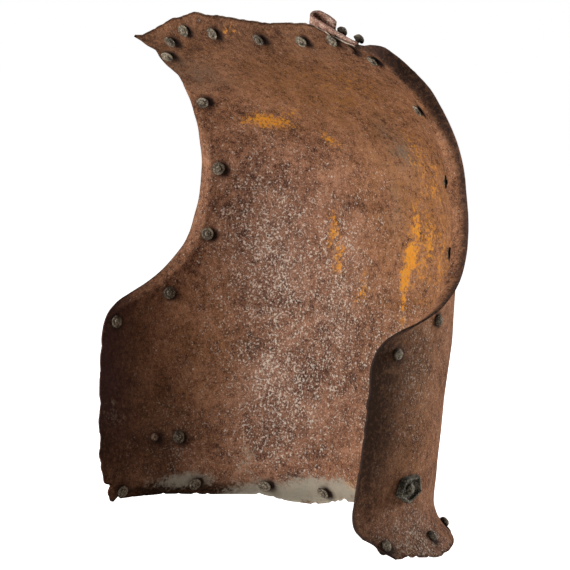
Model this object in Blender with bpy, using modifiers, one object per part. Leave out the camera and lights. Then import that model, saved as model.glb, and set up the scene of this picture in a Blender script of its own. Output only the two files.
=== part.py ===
"""Back plate of a cavalry cuirass, with its rivets and its strap and belt fittings, resting on its waist rim.

Metres, +Z up. The wearer would face -Y, so the plate bulges towards +Y, and +X is the wearer's left.
The plate is drawn upright in its own frame, the plate frame, and then leant onto the floor by REST_LEAN.
The tables are in millimetres of the plate frame: y runs back from the plane of the two side edges.
"""

import math

import bmesh
import bpy
from mathutils import Matrix, Vector

MM = 0.001
PLATE_THICKNESS = 1.8
WALL_GAP = 0.4  # between a fitting and the plate that it sits on
STRAP_GAP = 1.4  # the same under the straps, which lie flat over the neck's hollow curve
HEAD_GAP = 0.7  # under each rivet's dome

# How the plate stands: leant forwards about X and a little to its right about Y, with the plate frame's
# origin here above the floor.
REST_LEAN = (math.radians(2.7), math.radians(-1.85), 0.0)
REST_ORIGIN = (6.3, -76.9, -1.2)

WAIST_HEIGHT = 32
SHOULDER_HEIGHT = 402
RIGHT, LEFT = -1, 1


def table(columns, *rows):
    """A short table as a dictionary with a tuple for each named column."""
    return dict(zip(columns.split(), zip(*rows)))


# Level sections of the inner face: a superellipse of this half width across and this depth back from front.
SECTIONS = table(
    "height half_width depth front squareness",
    (-12, 188, 214, -25, 2.8),
    (0, 180, 206, -25, 2.8),
    (15, 172, 196, -25, 2.75),
    (32, 169.5, 192, -25, 2.7),
    (60, 174, 192, -25, 2.7),
    (120, 180, 193, -25, 2.8),
    (190, 183.5, 201, -25, 2.9),
    (260, 181, 203, -20, 2.95),
    (325, 177, 187, -15, 3.0),
    (392, 178, 124, -8, 3.1),
    (433, 172, 56, -2, 3.1),
    (450, 168, 34, 0, 3.1),
    (480, 160, 20, 0, 3.1),
)

# The line where each armhole's lip folds out, and below the armhole a line just inside the side's free edge:
# how far back it runs at each height, on the wearer's right and on the left.
FOLD_LINE = table(
    "height right left",
    (-1, 30, 22),
    (7, 17, 11),
    (9, 10, 9),
    (15, 4, 6),
    (20, 2, 0),
    (23, 0, -6),
    (27, -2, -11),
    (35, -4, -16),
    (48, -5, -18),
    (75, -3, -16),
    (105, 1, -13),
    (145, 5, -11),
    (170, 9, -8),
    (182, 14, -1),
    (188, 22, 8),
    (193, 32, 22),
    (198, 45, 38),
    (206, 63, 58),
    (216, 79, 76),
    (230, 94, 94),
    (248, 107, 108),
    (268, 114, 116),
    (295, 118, 121),
    (325, 117, 120),
    (352, 110, 113),
    (375, 98, 101),
    (392, 87, 87),
    (410, 70, 68),
    (424, 51, 50),
    (430, 44, 44),
    (436, 38, 39),
    (443, 29, 36),
    (452, 20, 33),
)
TIP_HEIGHTS = {-1: 452, 1: 443}  # where the fold line ends at the right shoulder's tip and at the left's

# The lip beyond the fold line: how wide it is and how far it turns out of the plate, in degrees.
LIP = table(
    "height width turn",
    (-8, 2, 0),
    (25, 6, 0),
    (180, 6, 0),
    (190, 8, 25),
    (198, 11, 55),
    (212, 15, 75),
    (240, 18, 82),
    (300, 18.5, 85),
    (360, 17.5, 85),
    (410, 16, 82),
    (434, 12, 78),
    (440, 7, 72),
    (443, 2.5, 60),
    (452, 3, 35),
)
LIP_STEPS = (0.45, 0.85, 1.0, 1.0)  # share of the turn that each strip of the lip has

# The waist rim's lower edge: its height at each angle round the plate, from the right side to the left.
WAIST_EDGE = table(
    "angle height",
    (-90, 9),
    (-73, 8),
    (-53, 3),
    (-35, 2),
    (-26, -3),
    (-18, -5),
    (-12, -2),
    (-4, 4),
    (12, 3),
    (35, -3),
    (55, -7),
    (66, -9),
    (73, -6),
    (79, -3),
    (90, -1),
)

# The top edge from the right shoulder's tip, over the neck, to the left shoulder's tip.
TOP_EDGE = table(
    "across height",
    (-148, 452),
    (-127, 460),
    (-106, 468),
    (-84, 472),
    (-76, 474),
    (-48, 471),
    (-13, 467),
    (17, 464),
    (44, 464.5),
    (70, 464.5),
    (79, 460),
    (88, 456),
    (97, 452),
    (107, 447),
    (123, 443),
)

WAIST_ROWS = (0, 0.3, 0.6, 0.85)
BODY_ROWS = (32, 42, 56, 78, 105, 132, 155, 170, 180, 186, 191, 196, 202, 210, 220, 232, 246, 262,
             280, 300, 320, 340, 358, 375, 390, 402)
TOP_ROWS = (0.15, 0.3, 0.45, 0.58, 0.7, 0.8, 0.9, 1.0)
COLUMNS = 37
FINE_STEPS = 240

SHANK_RADIUS = 2.0
HOLE_CLEARANCE = 0.35
LINING_GAP = 2.2  # what the lost lining took up between the plate and each rivet's washer
FLUSH_GAP = 0.5
FLUSH_RADIUS = 4.2
DOME_RADIUS = 5.2
DOME_HEIGHT = 4.6
WASHER_RADIUS = 6.2
WASHER_THICKNESS = 1.2
WAIST_HEAD_LIFT = 1.2  # the waist's domes stand in the hollow of the flare
PEENED_RADIUS = 2.8
PEENED_HEIGHT = 1.1
RIVET_SIDES = 10

STRAP_THICKNESS = 3.0
STRAP_WIDTH = 10
STRAP_NOSE = 7  # how far the left strap runs on past the neck's corner before it folds back
STRAP_FOLD_GAP = 8.0
STRAP_RETURN = 20
STRAP_LEATHER_GAP = 4.0  # what a lost leather took up between the left strap and its rivets' domes
BELT_PLATE_THICKNESS = 1.8
BELT_PLATE_WIDTH = 18
BELT_LUG_RADIUS = 14
BELT_LUG_STRETCH = 1.4  # how much longer the lug is along the belt
BELT_LUG_HEIGHT = 5.5
BELT_LUG_FLOOR = 2.2
BELT_LUG_RIM = 2.6

# Rivets along the armholes: how far back and how high.
ARMHOLE_RIVETS_RIGHT = table("back height", (43, 434), (95, 389), (123, 323), (117, 259), (79, 203), (18, 179))
ARMHOLE_RIVETS_LEFT = table("back height", (43, 434), (96, 389), (126, 323), (120, 259), (80, 204), (18, 180))
WAIST_RIVETS_RIGHT = table("back height", (14, 17), (94, 17), (148, 14))
WAIST_RIVETS_LEFT = table("back height", (14, 9), (85, 7), (142, 7))
REAR_WAIST_RIVETS = table("across height", (-51, 12), (0, 14), (51, 11))
NECK_RIVETS = table("across height", (-57, 456), (0, 451), (54, 450))
STRAP_RIVETS_RIGHT = table("across height", (-93, 458), (-116, 448))
STRAP_RIVETS_LEFT = table("across height", (95, 451), (111, 442.5))
BELT_PLATE_RIVETS = table("back height", (55, 65), (79, 63))
BELT_LUG_PLACE = (45, 58)  # how far back and how high on the left side

# The middle line of each strap along its shoulder's end.
STRAP_LINE_RIGHT = table("across height", (-126, 443), (-116, 448), (-104, 453.5), (-93, 458), (-82, 462))
STRAP_LINE_LEFT = table("across height", (114.8, 441), (107, 444.5), (97, 450), (86, 456), (77, 461))


def smooth(values, keys, at):
    """A smooth curve through a table's values that never runs past them between two rows."""
    at = min(max(at, keys[0]), keys[-1])
    spans = [b - a for a, b in zip(keys, keys[1:])]
    slopes = [(b - a) / span for a, b, span in zip(values, values[1:], spans)]
    row = max(i for i in range(len(spans)) if keys[i] <= at)

    def tangent(i):
        if i in (0, len(spans)):
            return slopes[min(i, len(slopes) - 1)]
        before, after = slopes[i - 1], slopes[i]
        if before * after <= 0:
            return 0.0
        weight_before = 2 * spans[i] + spans[i - 1]
        weight_after = spans[i] + 2 * spans[i - 1]
        return (weight_before + weight_after) / (weight_before / before + weight_after / after)

    span = spans[row]
    t = (at - keys[row]) / span
    return (
        (2 * t**3 - 3 * t**2 + 1) * values[row]
        + (t**3 - 2 * t**2 + t) * span * tangent(row)
        + (3 * t**2 - 2 * t**3) * values[row + 1]
        + (t**3 - t**2) * span * tangent(row + 1)
    )


def straight(values, keys, at):
    """Straight lines through a table's values."""
    at = min(max(at, keys[0]), keys[-1])
    row = max(i for i in range(len(keys) - 1) if keys[i] <= at)
    share = (at - keys[row]) / (keys[row + 1] - keys[row])
    return values[row] + (values[row + 1] - values[row]) * share


def section(height):
    return [
        smooth(SECTIONS[name], SECTIONS["height"], height)
        for name in ("half_width", "depth", "front", "squareness")
    ]


def plate_point(angle, height):
    """The inner face's point at this angle round from the middle of the back, positive to the wearer's left."""
    half_width, depth, front, squareness = section(height)
    across = math.copysign(abs(math.sin(angle)) ** (2 / squareness), angle)
    back = abs(math.cos(angle)) ** (2 / squareness)
    return Vector((half_width * across, front + depth * back, height))


def angle_at_back(side, back, height):
    """The angle on one side whose point lies this far back."""
    _, depth, front, squareness = section(height)
    share = min(max((back - front) / depth, 0), 1)
    return side * math.acos(share ** (squareness / 2))


def angle_at_across(across, height):
    half_width, _, _, squareness = section(height)
    share = min(abs(across) / half_width, 1)
    return math.copysign(math.asin(share ** (squareness / 2)), across)


def outward_normal(angle, height):
    small_angle, small_height = 0.01, 1.0
    along = plate_point(angle + small_angle, height) - plate_point(angle - small_angle, height)
    up = plate_point(angle, height + small_height) - plate_point(angle, height - small_height)
    return up.cross(along).normalized()


def fold_height(kind, amount, side):
    """How high a row of the plate meets the fold line on one side."""
    if kind == "waist":
        edge = straight(WAIST_EDGE["height"], WAIST_EDGE["angle"], side * 90)
        return edge + (WAIST_HEIGHT - edge) * amount
    if kind == "body":
        return amount
    return SHOULDER_HEIGHT + (TIP_HEIGHTS[side] - SHOULDER_HEIGHT) * amount


def row_height(kind, amount, angle):
    """The height of a row of the plate at this angle."""
    if kind == "waist":
        edge = smooth(WAIST_EDGE["height"], WAIST_EDGE["angle"], math.degrees(angle))
        return edge + (WAIST_HEIGHT - edge) * amount
    if kind == "body":
        return amount
    height = SHOULDER_HEIGHT
    for _ in range(6):
        across = plate_point(angle, height).x
        edge = straight(TOP_EDGE["height"], TOP_EDGE["across"], across)
        height = SHOULDER_HEIGHT + (edge - SHOULDER_HEIGHT) * amount
    return height


def resample(points, count):
    """The same line through evenly spaced points."""
    travelled = [0.0]
    for a, b in zip(points, points[1:]):
        travelled.append(travelled[-1] + (b - a).length)
    even, segment = [], 0
    for i in range(count):
        target = travelled[-1] * i / (count - 1)
        while segment < len(points) - 2 and travelled[segment + 1] < target:
            segment += 1
        span = travelled[segment + 1] - travelled[segment]
        even.append(points[segment].lerp(points[segment + 1], (target - travelled[segment]) / span))
    return even


def plate_row(kind, amount):
    """One row of the plate between its two fold lines."""
    ends = []
    for side, name in ((RIGHT, "right"), (LEFT, "left")):
        height = fold_height(kind, amount, side)
        back = smooth(FOLD_LINE[name], FOLD_LINE["height"], height)
        ends.append(angle_at_back(side, back, height))
    first, last = ends
    fine = []
    for i in range(FINE_STEPS + 1):
        angle = first + (last - first) * i / FINE_STEPS
        fine.append(plate_point(angle, row_height(kind, amount, angle)))
    return resample(fine, COLUMNS)


def lip_strips(fold, inside):
    """The strips of the lip beyond one fold line, given the column of points just inside it."""
    strips = [[] for _ in LIP_STEPS]
    for i, point in enumerate(fold):
        tangent = (fold[min(i + 1, len(fold) - 1)] - fold[max(i - 1, 0)]).normalized()
        outward = point - inside[i]
        outward = (outward - tangent * outward.dot(tangent)).normalized()
        normal = tangent.cross(outward)
        if normal.y < 0:
            normal = -normal
        width = smooth(LIP["width"], LIP["height"], point.z)
        turn = math.radians(smooth(LIP["turn"], LIP["height"], point.z))
        edge = point
        for strip, share in zip(strips, LIP_STEPS):
            direction = outward * math.cos(turn * share) + normal * math.sin(turn * share)
            edge = edge + direction * width / len(LIP_STEPS)
            strip.append(edge)
    return strips


def plate_columns():
    """Every column of the plate's inner face from the right edge to the left, as rows of points."""
    rows = [plate_row("waist", amount) for amount in WAIST_ROWS]
    rows += [plate_row("body", height) for height in BODY_ROWS]
    rows += [plate_row("top", amount) for amount in TOP_ROWS]
    columns = [list(column) for column in zip(*rows)]
    right = lip_strips(columns[0], columns[1])
    left = lip_strips(columns[-1], columns[-2])
    return right[::-1] + columns + left


def sheet_mesh(name, columns):
    """An open sheet through columns of points in millimetres."""
    mesh = bpy.data.meshes.new(name)
    bm = bmesh.new()
    grid = [[bm.verts.new(point * MM) for point in column] for column in columns]
    for here, beside in zip(grid, grid[1:]):
        for i in range(len(here) - 1):
            bm.faces.new((here[i], here[i + 1], beside[i + 1], beside[i]))
    bm.to_mesh(mesh)
    bm.free()
    return mesh


def material(name, colour, roughness, metallic):
    made = bpy.data.materials.new(name)
    made.use_nodes = True
    shader = made.node_tree.nodes["Principled BSDF"]
    shader.inputs["Base Color"].default_value = (*colour, 1.0)
    shader.inputs["Roughness"].default_value = roughness
    shader.inputs["Metallic"].default_value = metallic
    return made


def rusted_iron():
    return material("rusted_iron", (0.19, 0.085, 0.048), 0.85, 0.15)


def grey_rivet_iron():
    return material("grey_rivet_iron", (0.13, 0.12, 0.09), 0.6, 0.4)


def dark_fitting_iron():
    return material("dark_fitting_iron", (0.07, 0.06, 0.045), 0.65, 0.35)


def add_part(name, mesh, finish, location=None, rotation=None):
    """Puts a mesh in the object's collection, in the plate frame."""
    part = bpy.data.objects.new(name, mesh)
    part.parent = bpy.data.objects["rest_pose"]
    part.location = location or (0, 0, 0)
    if rotation is not None:
        part.rotation_mode = "QUATERNION"
        part.rotation_quaternion = rotation
    if not mesh.materials:
        mesh.materials.append(finish)
    bpy.data.collections["cuirass_back_plate"].objects.link(part)
    return part


def solidify(part, thickness, offset):
    wall = part.modifiers.new("wall", "SOLIDIFY")
    wall.thickness = thickness * MM
    wall.offset = offset
    wall.use_even_offset = True
    return wall


def add_cutter(name, mesh, location=(0, 0, 0), parent=None):
    cutter = bpy.data.objects.new(name, mesh)
    cutter.parent = parent
    cutter.location = location
    cutter.hide_render = True
    cutter.display_type = "WIRE"
    bpy.data.collections["cutters"].objects.link(cutter)
    return cutter


def cut(part, cutter):
    boolean = part.modifiers.new(cutter.name, "BOOLEAN")
    boolean.operation = "DIFFERENCE"
    boolean.object = cutter


def facing(normal):
    """The turn that points an object's own Z along this normal."""
    return normal.to_track_quat("Z", "Y")


class Place:
    """A point of the plate's inner face, and the way out of the plate there."""

    def __init__(self, angle, height):
        self.point = plate_point(angle, height)
        self.outward = outward_normal(angle, height)

    @classmethod
    def at_back(cls, side, back, height):
        return cls(angle_at_back(side, back, height), height)

    @classmethod
    def at_across(cls, across, height):
        return cls(angle_at_across(across, height), height)

    def raised(self, distance):
        return self.point + self.outward * distance


def rivet_profile(packing, lining_gap, washer_radius):
    """Half a rivet's outline from its peened end to the top of its dome, with packing under the dome."""
    washer_end = lining_gap + WASHER_THICKNESS
    seat = -(PLATE_THICKNESS + HEAD_GAP + packing)
    return (
        (0, washer_end + PEENED_HEIGHT),
        (PEENED_RADIUS * 0.8, washer_end + PEENED_HEIGHT * 0.8),
        (PEENED_RADIUS, washer_end),
        (washer_radius, washer_end),
        (washer_radius, lining_gap),
        (SHANK_RADIUS, lining_gap),
        (SHANK_RADIUS, seat),
        (DOME_RADIUS, seat),
        (DOME_RADIUS, seat - DOME_HEIGHT * 0.2),
        (DOME_RADIUS * 0.78, seat - DOME_HEIGHT * 0.68),
        (DOME_RADIUS * 0.42, seat - DOME_HEIGHT * 0.93),
        (0, seat - DOME_HEIGHT),
    )


def rivet_mesh(name, packing=0.0, lining_gap=LINING_GAP, washer_radius=WASHER_RADIUS):
    mesh = bpy.data.meshes.new(name)
    bm = bmesh.new()
    profile = rivet_profile(packing, lining_gap, washer_radius)
    points = [bm.verts.new((radius * MM, 0, height * MM)) for radius, height in profile]
    for a, b in zip(points, points[1:]):
        bm.edges.new((a, b))
    bm.to_mesh(mesh)
    bm.free()
    return mesh


def add_rivet(name, mesh, place, finish):
    rivet = add_part(name, mesh, finish, place.point * MM, facing(-place.outward))
    turned = rivet.modifiers.new("turned", "SCREW")
    turned.steps = turned.render_steps = RIVET_SIDES
    turned.use_merge_vertices = True
    turned.merge_threshold = 0.0001
    return rivet


def places_by_back(name, side, rows):
    pairs = zip(rows["back"], rows["height"])
    return {f"{name}_{number}": Place.at_back(side, *pair) for number, pair in enumerate(pairs, 1)}


def places_by_across(name, rows):
    pairs = zip(rows["across"], rows["height"])
    return {f"{name}_{number}": Place.at_across(*pair) for number, pair in enumerate(pairs, 1)}


def lining_places():
    """Where the rivets go that held the lost lining along the armholes, the neck and the waist."""
    return {
        **places_by_back("armhole_rivet_right", RIGHT, ARMHOLE_RIVETS_RIGHT),
        **places_by_back("armhole_rivet_left", LEFT, ARMHOLE_RIVETS_LEFT),
        **places_by_across("neck_rivet", NECK_RIVETS),
        **places_by_back("waist_rivet_right", RIGHT, WAIST_RIVETS_RIGHT),
        **places_by_back("waist_rivet_left", LEFT, WAIST_RIVETS_LEFT),
        **places_by_across("waist_rivet_rear", REAR_WAIST_RIVETS),
    }


def add_rivet_holes(places):
    """One cutter with a drill at every rivet's place."""
    mesh = bpy.data.meshes.new("rivet_holes")
    bm = bmesh.new()
    for place in places:
        turn = facing(place.outward).to_matrix().to_4x4()
        bmesh.ops.create_cone(
            bm,
            cap_ends=True,
            segments=12,
            radius1=(SHANK_RADIUS + HOLE_CLEARANCE) * MM,
            radius2=(SHANK_RADIUS + HOLE_CLEARANCE) * MM,
            depth=24 * MM,
            matrix=Matrix.Translation(place.point * MM) @ turn,
        )
    bm.to_mesh(mesh)
    bm.free()
    return add_cutter("rivet_holes", mesh, parent=bpy.data.objects["rest_pose"])


def add_floor_cutter():
    """A block under the floor, which wears the rim's lowest points flat."""
    mesh = bpy.data.meshes.new("floor_cut")
    bm = bmesh.new()
    bmesh.ops.create_cube(bm, size=1.0)
    bmesh.ops.translate(bm, verts=bm.verts, vec=(0, 0, -0.5))
    bm.to_mesh(mesh)
    bm.free()
    return add_cutter("floor_cut", mesh)


def add_back_plate(holes):
    plate = add_part("back_plate", sheet_mesh("back_plate", plate_columns()), rusted_iron())
    solidify(plate, PLATE_THICKNESS, 1.0)
    cut(plate, holes)
    cut(plate, add_floor_cutter())
    return plate


def strip_mesh(name, path, width):
    """A flat strip along a path of (point, outward direction) pairs, square across to both."""
    near, far = [], []
    for i, (point, outward) in enumerate(path):
        before, after = path[max(i - 1, 0)][0], path[min(i + 1, len(path) - 1)][0]
        sideways = (after - before).cross(outward).normalized() * (width / 2)
        near.append(point - sideways)
        far.append(point + sideways)
    return sheet_mesh(name, (near, far))


def line_over_plate(rows, raise_by):
    """A path of (point, outward direction) pairs that follows the outer face this far above the inner one."""
    places = [Place.at_across(*pair) for pair in zip(rows["across"], rows["height"])]
    return [(place.raised(raise_by), place.outward) for place in places]


def add_right_strap(finish):
    path = line_over_plate(STRAP_LINE_RIGHT, PLATE_THICKNESS + STRAP_GAP + STRAP_THICKNESS / 2)
    strap = add_part("strap_plate_right", strip_mesh("strap_plate_right", path, STRAP_WIDTH), finish)
    solidify(strap, STRAP_THICKNESS, 0)
    return strap


def add_left_strap(finish):
    """The left strap lies along the shoulder's end, runs past the neck's corner and folds back over itself."""
    path = line_over_plate(STRAP_LINE_LEFT, PLATE_THICKNESS + STRAP_GAP + STRAP_THICKNESS / 2)
    corner, outward = path[-1]
    along = (corner - path[-2][0]).normalized()
    radius = (STRAP_FOLD_GAP + STRAP_THICKNESS) / 2
    nose = corner + along * STRAP_NOSE
    centre = nose + outward * radius
    turn_steps = 6
    for step in range(turn_steps + 1):
        turn = math.pi * step / turn_steps
        direction = along * math.sin(turn) - outward * math.cos(turn)
        path.append((centre + direction * radius, -direction))
    back = path[-1][0]
    for along_share, drop in ((0.3, -0.5), (0.6, 0), (0.8, 1.2), (0.93, 4.0), (1.0, 6.8)):
        path.append((back - along * STRAP_RETURN * along_share - outward * drop, -outward))
    strap = add_part("strap_loop_left", strip_mesh("strap_loop_left", path, STRAP_WIDTH), finish)
    solidify(strap, STRAP_THICKNESS, 0)
    return strap


def add_belt_plate(finish):
    """The plain plate outside the right side that a strap of the waist belt hung from."""
    path = []
    for back in (45, 55, 67, 79, 90):
        place = Place.at_back(RIGHT, back, 64)
        path.append((place.raised(PLATE_THICKNESS + WALL_GAP + BELT_PLATE_THICKNESS / 2), place.outward))
    plate = add_part("belt_plate_right", strip_mesh("belt_plate_right", path, BELT_PLATE_WIDTH), finish)
    solidify(plate, BELT_PLATE_THICKNESS, 0)
    return plate


def five_sided_block(name, radius, depth, base):
    """A five-sided block, its point down, that stands on this height along its own Z."""
    mesh = bpy.data.meshes.new(name)
    bm = bmesh.new()
    bmesh.ops.create_cone(
        bm,
        cap_ends=True,
        segments=5,
        radius1=radius * MM,
        radius2=radius * 0.94 * MM,
        depth=depth * MM,
        matrix=Matrix.Translation((0, 0, (base + depth / 2) * MM)) @ Matrix.Rotation(math.pi, 4, "Z"),
    )
    bmesh.ops.scale(bm, verts=bm.verts, vec=(BELT_LUG_STRETCH, 1, 1))
    bm.to_mesh(mesh)
    bm.free()
    return mesh


def add_belt_lug(place, finish):
    """The five-sided lug on the left side: a dished block round its own rivet."""
    base = PLATE_THICKNESS + WALL_GAP * 2
    turn = facing(place.outward)
    lug = add_part("belt_lug_left", five_sided_block("belt_lug_left", BELT_LUG_RADIUS, BELT_LUG_HEIGHT, base),
                   finish, place.point * MM, turn)
    dish = add_cutter(
        "belt_lug_dish",
        five_sided_block("belt_lug_dish", BELT_LUG_RADIUS - BELT_LUG_RIM, BELT_LUG_HEIGHT, base + BELT_LUG_FLOOR),
        parent=lug,
    )
    cut(lug, dish)
    return lug


def clear_scene():
    for obj in list(bpy.data.objects):
        bpy.data.objects.remove(obj, do_unlink=True)


def add_rest_pose():
    pose = bpy.data.objects.new("rest_pose", None)
    pose.rotation_euler = REST_LEAN
    pose.location = Vector(REST_ORIGIN) * MM
    bpy.data.collections["cuirass_back_plate"].objects.link(pose)


def main():
    clear_scene()
    for name in ("cuirass_back_plate", "cutters"):
        bpy.context.scene.collection.children.link(bpy.data.collections.new(name))
    add_rest_pose()
    lining = lining_places()
    right_strap = places_by_across("strap_rivet_right", STRAP_RIVETS_RIGHT)
    left_strap = places_by_across("strap_rivet_left", STRAP_RIVETS_LEFT)
    belt_plate = places_by_back("belt_rivet_right", RIGHT, BELT_PLATE_RIVETS)
    lug_place = Place.at_back(LEFT, *BELT_LUG_PLACE)
    everywhere = [*lining.values(), *right_strap.values(), *left_strap.values(), *belt_plate.values(), lug_place]
    holes = add_rivet_holes(everywhere)
    add_back_plate(holes)
    grey = grey_rivet_iron()
    dark = dark_fitting_iron()
    for strap in (add_right_strap(dark), add_left_strap(dark), add_belt_plate(dark), add_belt_lug(lug_place, dark)):
        cut(strap, holes)
    lining_rivet = rivet_mesh("lining_rivet")
    waist_rivet = rivet_mesh("waist_rivet", packing=WAIST_HEAD_LIFT)
    for name, place in lining.items():
        add_rivet(name, waist_rivet if name.startswith("waist") else lining_rivet, place, grey)
    strap_rivet = rivet_mesh("strap_rivet", packing=STRAP_THICKNESS + STRAP_GAP)
    for name, place in right_strap.items():
        add_rivet(name, strap_rivet, place, grey)
    stud_packing = STRAP_THICKNESS + STRAP_GAP + STRAP_LEATHER_GAP
    stud = rivet_mesh("strap_stud", packing=stud_packing)
    flush_stud = rivet_mesh("flush_strap_stud", stud_packing, FLUSH_GAP, FLUSH_RADIUS)
    add_rivet("strap_rivet_left_1", stud, left_strap["strap_rivet_left_1"], grey)
    add_rivet("strap_rivet_left_2", flush_stud, left_strap["strap_rivet_left_2"], grey)
    belt_rivet = rivet_mesh("belt_rivet", packing=BELT_PLATE_THICKNESS + WALL_GAP)
    flush_belt_rivet = rivet_mesh("flush_belt_rivet", BELT_PLATE_THICKNESS + WALL_GAP, FLUSH_GAP, FLUSH_RADIUS)
    add_rivet("belt_rivet_right_1", flush_belt_rivet, belt_plate["belt_rivet_right_1"], grey)
    add_rivet("belt_rivet_right_2", belt_rivet, belt_plate["belt_rivet_right_2"], grey)
    lug_rivet = rivet_mesh("lug_rivet", packing=WALL_GAP + BELT_LUG_FLOOR + WALL_GAP)
    add_rivet("belt_rivet_left", lug_rivet, lug_place, grey)


main()
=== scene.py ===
"""The looks of a cavalry cuirass's back plate: rusted sheet iron with grey lining rivets, a folded shoulder
strap, a strap plate, a belt plate and a belt lug, standing on a pale floor.

The tables are in millimetres of the plate frame, in which the plate stands upright: y runs back from the
plane of its two side edges, and +x is the wearer's left. REST_LEAN and REST_ORIGIN set it on the floor.
"""

import math

import bmesh
import bpy
import numpy as np
from mathutils import Euler, Matrix, Vector, noise


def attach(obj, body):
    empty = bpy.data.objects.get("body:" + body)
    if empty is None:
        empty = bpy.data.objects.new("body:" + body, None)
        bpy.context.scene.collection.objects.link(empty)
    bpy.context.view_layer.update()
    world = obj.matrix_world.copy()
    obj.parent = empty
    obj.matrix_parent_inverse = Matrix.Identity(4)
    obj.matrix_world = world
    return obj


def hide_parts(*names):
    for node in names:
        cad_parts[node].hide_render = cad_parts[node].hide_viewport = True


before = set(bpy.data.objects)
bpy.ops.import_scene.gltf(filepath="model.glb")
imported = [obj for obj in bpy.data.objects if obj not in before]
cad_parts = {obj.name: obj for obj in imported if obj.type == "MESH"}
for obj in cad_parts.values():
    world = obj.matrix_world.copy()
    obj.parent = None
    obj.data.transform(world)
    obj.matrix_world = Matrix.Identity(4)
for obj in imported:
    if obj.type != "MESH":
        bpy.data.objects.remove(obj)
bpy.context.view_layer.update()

MM = 0.001
BODY = "root"
PLATE_THICKNESS = 1.8
WALL_GAP = 0.4
STRAP_GAP = 1.4
SEAT_GAP = 0.3
REST_LEAN = (math.radians(2.7), math.radians(-1.85), 0.0)
REST_ORIGIN = (6.3, -76.9, -1.2)
WAIST_HEIGHT = 32
SHOULDER_HEIGHT = 402
RIGHT, LEFT = -1, 1
SIDE_NAMES = {RIGHT: "right", LEFT: "left"}


def table(columns, *rows):
    """A short table as a dictionary with an array for each named column."""
    return {name: np.array(column, float) for name, column in zip(columns.split(), zip(*rows))}


# Level sections of the inner face: a superellipse of this half width across and this depth back from front.
SECTIONS = table(
    "height half_width depth front squareness",
    (-12, 188, 214, -25, 2.8), (0, 180, 206, -25, 2.8), (15, 172, 196, -25, 2.75),
    (32, 169.5, 192, -25, 2.7), (60, 174, 192, -25, 2.7), (120, 180, 193, -25, 2.8),
    (190, 183.5, 201, -25, 2.9), (260, 181, 203, -20, 2.95), (325, 177, 187, -15, 3.0),
    (392, 178, 124, -8, 3.1), (433, 172, 56, -2, 3.1), (450, 168, 34, 0, 3.1),
    (480, 160, 20, 0, 3.1),
)

# Where each armhole's lip folds out, and below the armhole a line just inside the side's free edge: how far
# back it runs at each height, on the wearer's right and left.
FOLD_LINE = table(
    "height right left",
    (-1, 30, 22), (7, 17, 11), (9, 10, 9), (15, 4, 6), (20, 2, 0), (23, 0, -6), (27, -2, -11),
    (35, -4, -16), (48, -5, -18), (75, -3, -16), (105, 1, -13), (145, 5, -11), (170, 9, -8),
    (182, 14, -1), (188, 22, 8), (193, 32, 22), (198, 45, 38), (206, 63, 58), (216, 79, 76),
    (230, 94, 94), (248, 107, 108), (268, 114, 116), (295, 118, 121), (325, 117, 120),
    (352, 110, 113), (375, 98, 101), (392, 87, 87), (410, 70, 68), (424, 51, 50), (430, 44, 44),
    (436, 38, 39), (443, 29, 36), (452, 20, 33),
)
TIP_HEIGHTS = {RIGHT: 452, LEFT: 443}  # where the fold line ends at each shoulder's tip

# The lip beyond the fold line: its width and how far it turns out of the plate, in degrees.
LIP = table(
    "height width turn",
    (-8, 2, 0), (25, 6, 0), (180, 6, 0), (190, 8, 25), (198, 11, 55), (212, 15, 75), (240, 18, 82),
    (300, 18.5, 85), (360, 17.5, 85), (410, 16, 82), (434, 12, 78), (440, 7, 72), (443, 2.5, 60),
    (452, 3, 35),
)
# How much of its turn the lip has at each share of its width.
LIP_TURN = table("along share", (0, 0.2), (0.125, 0.45), (0.375, 0.85), (0.625, 1.0), (1, 1.0))

# The waist rim's lower edge: its height at each angle, from the right side to the left.
WAIST_EDGE = table(
    "angle height",
    (-90, 9), (-73, 8), (-53, 3), (-35, 2), (-26, -3), (-18, -5), (-12, -2), (-4, 4), (12, 3),
    (35, -3), (55, -7), (66, -9), (73, -6), (79, -3), (90, -1),
)

# The top edge, from the right shoulder's tip over the neck to the left's.
TOP_EDGE = table(
    "across height",
    (-148, 452), (-127, 460), (-106, 468), (-84, 472), (-76, 474), (-48, 471), (-13, 467),
    (17, 464), (44, 464.5), (70, 464.5), (79, 460), (88, 456), (97, 452), (107, 447), (123, 443),
)

# The fine sheet: rows of faces at the waist, on the body and at the top, and columns.
WAIST_STEPS = 12
BODY_STEPS = 128
TOP_STEPS = 26
SHEET_COLUMNS = 200
LIP_COLUMNS = 8
FINE_STEPS = 400
TOP_ROUNDS = 6
RIM_ROUNDING = 0.35

SHANK_RADIUS = 2.0
LINING_GAP = 2.2
FLUSH_GAP = 0.5
FLUSH_RADIUS = 4.2
DOME_RADIUS = 5.2
DOME_HEIGHT = 4.6
WASHER_RADIUS = 6.2
WASHER_THICKNESS = 1.2
WAIST_HEAD_LIFT = 0.2
PEENED_RADIUS = 2.8
PEENED_HEIGHT = 1.1
RIVET_SIDES = 24

STRAP_THICKNESS = 3.0
STRAP_WIDTH = 10
STRAP_NOSE = 7
STRAP_FOLD_GAP = 8.0
STRAP_RETURN = 20
STRAP_LEATHER_GAP = 4.0
STRAP_LIFT = PLATE_THICKNESS + STRAP_GAP + STRAP_THICKNESS / 2
STRAP_PACKING = STRAP_THICKNESS + STRAP_GAP
BELT_PLATE_THICKNESS = 1.8
BELT_PLATE_WIDTH = 18
LUG_RADIUS = 14
LUG_STRETCH = 1.4
LUG_HEIGHT = 5.5
LUG_FLOOR = 2.2
LUG_RIM = 2.6
LUG_TAPER = 0.94
LUG_BEVEL = 0.7
LUG_SHARP_TURN = 0.5
LUG_LONGEST_EDGE = 1.6

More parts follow.
